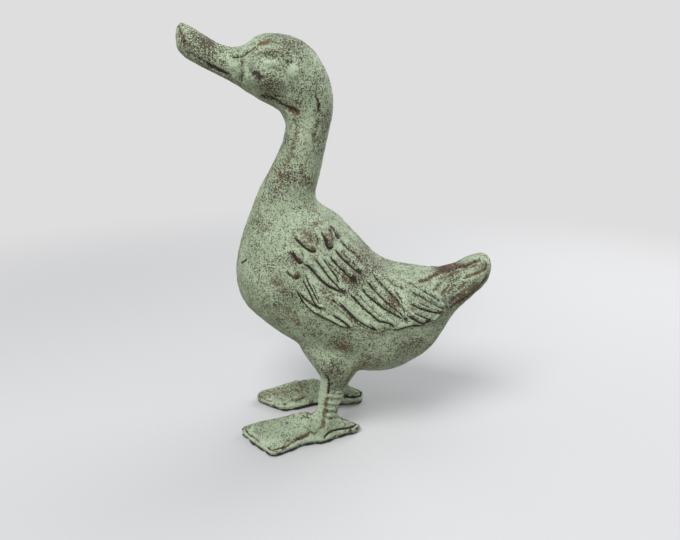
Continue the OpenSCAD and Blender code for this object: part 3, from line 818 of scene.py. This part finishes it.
def combine(target, other, operation):
    """Turns the target's mesh into its difference, union or intersection with another's, which goes."""
    step = target.modifiers.new("combine", "BOOLEAN")
    step.operation = operation
    step.solver = "MANIFOLD"
    step.object = other
    done = bpy.data.meshes.new_from_object(target.evaluated_get(bpy.context.evaluated_depsgraph_get()))
    done.materials.clear()
    done.polygons.foreach_set("material_index", [0] * len(done.polygons))
    target.modifiers.clear()
    target.data = done
    bpy.data.objects.remove(other)


def casting_solid(casting):
    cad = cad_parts[casting].data
    return bare_solid(positions(cad), [tuple(face.vertices) for face in cad.polygons])


def half_space(side):
    """A box round all that lies on one side of the mid-plane."""
    low, high = np.array(cad_low) / MM - ROOM, np.array(cad_high) / MM + ROOM
    ends = (low[0], high[0]), (0.0, side * high[1]), (low[2], high[2])
    corners = [(x, y, z) for x in ends[0] for y in ends[1] for z in ends[2]]
    faces = [(0, 1, 3, 2), (4, 6, 7, 5), (0, 4, 5, 1), (2, 3, 7, 6), (0, 2, 6, 4), (1, 5, 7, 3)]
    return bare_solid(corners, faces)


def drop_outside(obj):
    """Deletes the piece of a mesh that reaches furthest forward, so what the casting encloses stays."""
    bm = bmesh.new()
    bm.from_mesh(obj.data)
    waiting = [min(bm.verts, key=lambda v: v.co.x)]
    outside = set(waiting)
    while waiting:
        vert = waiting.pop()
        for edge in vert.link_edges:
            other = edge.other_vert(vert)
            if other not in outside:
                outside.add(other)
                waiting.append(other)
    bmesh.ops.delete(bm, geom=list(outside), context="VERTS")
    bm.to_mesh(obj.data)
    bm.free()


def hollow(half, casting, side):
    """Cuts the casting's hollow, tapped holes and sockets out of a half, and adds its pegs."""
    inside = half_space(side)
    combine(inside, casting_solid(casting), "DIFFERENCE")
    drop_outside(inside)
    combine(half, inside, "DIFFERENCE")
    pegs = half_space(-side)
    combine(pegs, casting_solid(casting), "INTERSECT")
    combine(half, pegs, "UNION")


def lathe(profile, sides):
    """Points and faces of a profile [(radius, height)] turned about +Y, closed at both ends."""
    turn = np.arange(sides) * 2 * math.pi / sides
    points = [(r * math.cos(a), h, r * math.sin(a)) for r, h in profile for a in turn]
    rings = [[i * sides + k for k in range(sides)] for i in range(len(profile))]
    faces = [(low[k], low[(k + 1) % sides], high[(k + 1) % sides], high[k])
             for low, high in zip(rings, rings[1:]) for k in range(sides)]
    return np.array(points), faces + [rings[0][::-1], rings[-1]]


def drill(half, name):
    """Cuts a screw's counterbore, and the hole through to the mid-plane, out of a half."""
    x, z, top = SCREWS[name]
    seat = top - HEAD_HEIGHT
    profile = [(HOLE_RADIUS, -PAST_PLANE), (HOLE_RADIUS, seat), (BORE_RADIUS, seat),
               (BORE_RADIUS, top + PAST_HEAD)]
    points, faces = lathe(profile, BORE_SIDES)
    combine(half, bare_solid(points + [x, 0.0, z], faces, BORE_BARE), "DIFFERENCE")


def build_castings():
    """The left half and the right half of the duck."""
    points, quads = skin_mesh()
    whole = new_object("whole_skin", points, quads)
    refine(whole, detailed_faces(whole.data))
    relief = model_skin(positions(whole.data), vertex_normals(whole.data))
    refine(whole, busy_faces(whole.data, relief.dark + RUST_COUNTS * relief.rust))
    p = positions(whole.data)
    relief = model_skin(p, vertex_normals(whole.data))
    p = p + vertex_normals(whole.data) * relief.height[:, None]
    p[:, 2] = np.maximum(p[:, 2], 0.0)
    whole.data.vertices.foreach_set("co", (p * MM).ravel())
    set_finish(whole.data, dark=relief.dark, rust=relief.rust, light=relief.light, specks=speck_density(p))
    whole.data.update()
    halves = [half_of(whole, "left_half", -1), half_of(whole, "right_half", 1)]
    bpy.data.objects.remove(whole)
    hollow(halves[0], "left_casting", -1)
    hollow(halves[1], "right_casting", 1)
    for name in SCREWS:
        drill(halves[1], name)
    for half in halves:
        shade_flat_where_bare(half.data)
    return halves


left_half, right_half = build_castings()


# Materials

def node(tree, kind, **settings):
    made = tree.nodes.new(kind)
    for key, value in settings.items():
        if key in made.inputs:
            made.inputs[key].default_value = value
        else:
            setattr(made, key, value)
    return made


def srgb(red, green, blue):
    """A colour given as 0 to 255, as linear values."""
    parts = [c / 255.0 for c in (red, green, blue)]
    return tuple(c / 12.92 if c <= 0.04045 else ((c + 0.055) / 1.055) ** 2.4 for c in parts) + (1.0,)


# The paint, where it is thicker, and where it is rubbed or carries a painted highlight
PAINT = srgb(160, 176, 147)
THICK_PAINT = srgb(184, 201, 170)
RUBBED_PAINT_AND_HIGHLIGHT = srgb(196, 213, 184)
# What shows through the paint or lies on it, a grime colour that also serves for painted shade, and the bare
# iron inside
SPECK = srgb(70, 47, 32)
CRACK = srgb(60, 41, 28)
BLOTCH = srgb(72, 53, 38)
RUST = srgb(98, 66, 42)
GRIME_AND_SHADE = srgb(40, 29, 20)
IRON = srgb(92, 80, 70)
RUSTY_IRON = srgb(104, 68, 44)
# The screws
DARK_STEEL = srgb(92, 84, 72)
PALE_STEEL = srgb(140, 136, 124)


def verdigris_material():
    """Pale green paint on rough iron, with specks, cracks, rust, grime, painted shade and painted highlights,
    and bare iron inside.
    """
    mat = bpy.data.materials.new("verdigris_iron")
    mat.use_nodes = True
    tree = mat.node_tree
    tree.nodes.clear()
    link = tree.links.new
    place = node(tree, "ShaderNodeTexCoord").outputs["Object"]

    def noise(scale, detail, roughness=0.6):
        made = node(tree, "ShaderNodeTexNoise", Scale=scale, Detail=detail, Roughness=roughness)
        link(place, made.inputs["Vector"])
        return made.outputs["Fac"]

    def ramp(source, low, high):
        made = node(tree, "ShaderNodeMapRange", interpolation_type="SMOOTHSTEP")
        made.inputs["From Min"].default_value = low
        made.inputs["From Max"].default_value = high
        link(source, made.inputs["Value"])
        return made.outputs["Result"]

    def maths(operation, a, b):
        made = node(tree, "ShaderNodeMath", operation=operation, use_clamp=False)
        for socket, value in zip(made.inputs, (a, b)):
            if isinstance(value, (int, float)):
                socket.default_value = value
            else:
                link(value, socket)
        return made.outputs[0]

    def attribute(name):
        return node(tree, "ShaderNodeAttribute", attribute_name=name).outputs["Fac"]

    def mix(amount, first, second):
        made = node(tree, "ShaderNodeMix", data_type="RGBA")
        link(amount, made.inputs[0])
        for socket, value in ((made.inputs[6], first), (made.inputs[7], second)):
            if isinstance(value, tuple):
                socket.default_value = value
            else:
                link(value, socket)
        return made.outputs[2]

    paint = mix(ramp(noise(60, 4), 0.35, 0.65), PAINT, THICK_PAINT)
    # Paler paint from the light mask: rubbed paint and painted highlights on raised parts
    paint = mix(maths("MULTIPLY", attribute("light"), 0.6), paint, RUBBED_PAINT_AND_HIGHLIGHT)
    # Thin paint over a rough casting: dark iron shows through in fine specks and cracks that crowd in places
    crowd = maths("MULTIPLY", attribute("specks"), 0.15)
    crowd = maths("ADD", crowd, maths("MULTIPLY", noise(70, 3), 0.20))
    crowd = maths("SUBTRACT", crowd, maths("MULTIPLY", attribute("light"), 0.07))
    fine = ramp(maths("ADD", noise(1000, 3.0, 0.7), crowd), 0.69, 0.76)
    paint = mix(maths("MULTIPLY", fine, 0.95), paint, SPECK)
    off_level = maths("ABSOLUTE", maths("SUBTRACT", noise(620, 3.0, 0.6), 0.5), 0.0)
    crack = maths("SUBTRACT", 1.0, ramp(off_level, 0.012, 0.050))
    crack = maths("MULTIPLY", crack, ramp(maths("ADD", noise(240, 3.0, 0.6), crowd), 0.61, 0.73))
    paint = mix(maths("MULTIPLY", crack, 0.92), paint, CRACK)
    coarse = ramp(maths("ADD", noise(520, 4.0, 0.65), crowd), 0.73, 0.86)
    paint = mix(maths("MULTIPLY", coarse, 0.40), paint, BLOTCH)
    # Rust, then the dark mask as grime and painted shade in grooves, hollows and under edges, both broken up
    # by the grain
    rust = maths("ADD", attribute("rust"), maths("MULTIPLY", noise(430, 5, 0.7), 2.8))
    paint = mix(maths("MULTIPLY", ramp(rust, 1.60, 2.25), 0.85), paint, RUST)
    dark = maths("ADD", attribute("dark"), maths("MULTIPLY", noise(520, 5, 0.7), 2.2))
    paint = mix(maths("MULTIPLY", ramp(dark, 1.34, 1.74), 0.96), paint, GRIME_AND_SHADE)
    iron = mix(ramp(noise(150, 5, 0.65), 0.40, 0.62), IRON, RUSTY_IRON)
    paint = mix(attribute("bare"), paint, iron)
    shader = node(tree, "ShaderNodeBsdfPrincipled", Roughness=0.72)
    shader.inputs["Specular IOR Level"].default_value = 0.35
    link(paint, shader.inputs["Base Color"])
    rough = maths("SUBTRACT", noise(420, 5, 0.68), maths("MULTIPLY", fine, 0.25))
    bump = node(tree, "ShaderNodeBump", Strength=0.8, Distance=0.0014)
    link(rough, bump.inputs["Height"])
    link(bump.outputs["Normal"], shader.inputs["Normal"])
    out = node(tree, "ShaderNodeOutputMaterial")
    link(shader.outputs[0], out.inputs["Surface"])
    return mat


def steel_material():
    """Dull, unevenly tarnished steel."""
    mat = bpy.data.materials.new("screw_steel")
    mat.use_nodes = True
    tree = mat.node_tree
    shader = tree.nodes["Principled BSDF"]
    shader.inputs["Metallic"].default_value = 0.8
    place = node(tree, "ShaderNodeTexCoord").outputs["Object"]
    noise = node(tree, "ShaderNodeTexNoise", Scale=600, Detail=4)
    tree.links.new(place, noise.inputs["Vector"])
    tint = node(tree, "ShaderNodeMix", data_type="RGBA")
    tint.inputs[6].default_value = DARK_STEEL
    tint.inputs[7].default_value = PALE_STEEL
    tree.links.new(noise.outputs["Fac"], tint.inputs[0])
    tree.links.new(tint.outputs[2], shader.inputs["Base Color"])
    rough = node(tree, "ShaderNodeMapRange")
    rough.inputs["To Min"].default_value = 0.35
    rough.inputs["To Max"].default_value = 0.65
    tree.links.new(noise.outputs["Fac"], rough.inputs["Value"])
    tree.links.new(rough.outputs["Result"], shader.inputs["Roughness"])
    return mat


verdigris = verdigris_material()
steel = steel_material()
for half, casting in ((left_half, "left_casting"), (right_half, "right_casting")):
    half.data.materials.append(verdigris)
    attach(half, "root")
    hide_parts(casting)
for name in SCREWS:
    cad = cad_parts[name]
    cad.data.materials.clear()
    cad.data.materials.append(steel)


# Floor, light and camera

# The background, the floor as it is seen and the floor as it throws light back
PALE = srgb(222, 222, 223)
FLOOR_SEEN = srgb(206, 206, 207)
FLOOR_THROWN = (0.34, 0.32, 0.28, 1.0)
# Size of the floor, its depth below the soles, and the distances between which it fades into the background
FLOOR_SIZE = 8.0
FLOOR_DROP = 0.0002
FADE_FROM = 0.25
FADE_TO = 0.9
# Light from all round
SKY = (0.93, 0.96, 1.0, 1.0)
SKY_STRENGTH = 0.36
# The point that the lamps face, and the lamps: (name, place, size, power in watts)
LAMPS_FACE = Vector((0, 0, 0.13))
LAMPS = [
    ("key", (-0.25, -0.80, 1.15), 0.6, 14.9),
    ("top", (0.10, 0.20, 1.3), 0.9, 1.6),
    ("rim", (0.70, 0.75, 0.55), 0.9, 8.0),
]


def seen_directly(tree):
    """1 for rays from the camera or a mirror, 0 for light that the surface throws on others."""
    path = node(tree, "ShaderNodeLightPath")
    either = node(tree, "ShaderNodeMath", operation="MAXIMUM")
    tree.links.new(path.outputs["Is Camera Ray"], either.inputs[0])
    tree.links.new(path.outputs["Is Glossy Ray"], either.inputs[1])
    all_three = node(tree, "ShaderNodeMath", operation="MAXIMUM")
    tree.links.new(either.outputs[0], all_three.inputs[0])
    tree.links.new(path.outputs["Is Transmission Ray"], all_three.inputs[1])
    return all_three.outputs[0]


def floor_material():
    """A pale floor that runs out into the background."""
    mat = bpy.data.materials.new("floor_paint")
    mat.use_nodes = True
    tree = mat.node_tree
    link = tree.links.new
    seen = seen_directly(tree)
    tint = node(tree, "ShaderNodeMix", data_type="RGBA")
    link(seen, tint.inputs[0])
    tint.inputs[6].default_value = FLOOR_THROWN
    tint.inputs[7].default_value = FLOOR_SEEN
    shader = tree.nodes["Principled BSDF"]
    shader.inputs["Roughness"].default_value = 0.85
    link(tint.outputs[2], shader.inputs["Base Color"])
    distance = node(tree, "ShaderNodeVectorMath", operation="LENGTH")
    link(node(tree, "ShaderNodeTexCoord").outputs["Object"], distance.inputs[0])
    fade = node(tree, "ShaderNodeMapRange", interpolation_type="SMOOTHSTEP")
    fade.inputs["From Min"].default_value = FADE_FROM
    fade.inputs["From Max"].default_value = FADE_TO
    link(distance.outputs["Value"], fade.inputs["Value"])
    amount = node(tree, "ShaderNodeMath", operation="MULTIPLY")
    link(fade.outputs["Result"], amount.inputs[0])
    link(seen, amount.inputs[1])
    glow = node(tree, "ShaderNodeEmission", Color=PALE, Strength=1.0)
    both = node(tree, "ShaderNodeMixShader")
    link(amount.outputs[0], both.inputs[0])
    link(shader.outputs[0], both.inputs[1])
    link(glow.outputs[0], both.inputs[2])
    link(both.outputs[0], tree.nodes["Material Output"].inputs["Surface"])
    return mat


def studio():
    """The floor, the background and the lamps."""
    scene = bpy.context.scene
    bpy.ops.mesh.primitive_plane_add(size=FLOOR_SIZE, location=(0, 0, -FLOOR_DROP))
    floor = bpy.context.object
    floor.name = "floor"
    floor.data.materials.append(floor_material())
    world = bpy.data.worlds.new("studio")
    scene.world = world
    world.use_nodes = True
    tree = world.node_tree
    light = tree.nodes["Background"]
    light.inputs["Color"].default_value = SKY
    light.inputs["Strength"].default_value = SKY_STRENGTH
    backdrop = node(tree, "ShaderNodeBackground", Color=PALE, Strength=1.0)
    both = node(tree, "ShaderNodeMixShader")
    tree.links.new(seen_directly(tree), both.inputs[0])
    tree.links.new(light.outputs[0], both.inputs[1])
    tree.links.new(backdrop.outputs[0], both.inputs[2])
    tree.links.new(both.outputs[0], tree.nodes["World Output"].inputs["Surface"])
    for label, place, size, power in LAMPS:
        data = bpy.data.lights.new(label, "AREA")
        data.size = size
        data.energy = power
        lamp = link_object(label, data)
        lamp.location = place
        lamp.rotation_euler = (LAMPS_FACE - lamp.location).to_track_quat("-Z", "Y").to_euler()
    scene.view_settings.view_transform = "Standard"


# The photograph's viewpoint: place, turn to the left and tilt down in degrees
CAMERA_AT = Vector((37.3, -412.1, 248.8))
CAMERA_TURN = 5.0
CAMERA_TILT = 17.0
# Its focal length and the picture's width in pixels, and the sensor's width in millimetres
FOCAL_PIXELS = 600.0
WIDTH_PIXELS = 680.0
SENSOR_WIDTH = 36.0


def camera():
    data = bpy.data.cameras.new("camera")
    data.sensor_fit = "HORIZONTAL"
    data.sensor_width = SENSOR_WIDTH
    data.lens = FOCAL_PIXELS / WIDTH_PIXELS * SENSOR_WIDTH
    data.clip_start = 0.01
    obj = link_object("camera", data)
    obj.location = CAMERA_AT * MM
    turn, pitch = math.radians(CAMERA_TURN), math.radians(CAMERA_TILT)
    forward = Vector((-math.sin(turn) * math.cos(pitch), math.cos(turn) * math.cos(pitch), -math.sin(pitch)))
    obj.rotation_euler = forward.to_track_quat("-Z", "Y").to_euler()
    bpy.context.scene.camera = obj


studio()
camera()
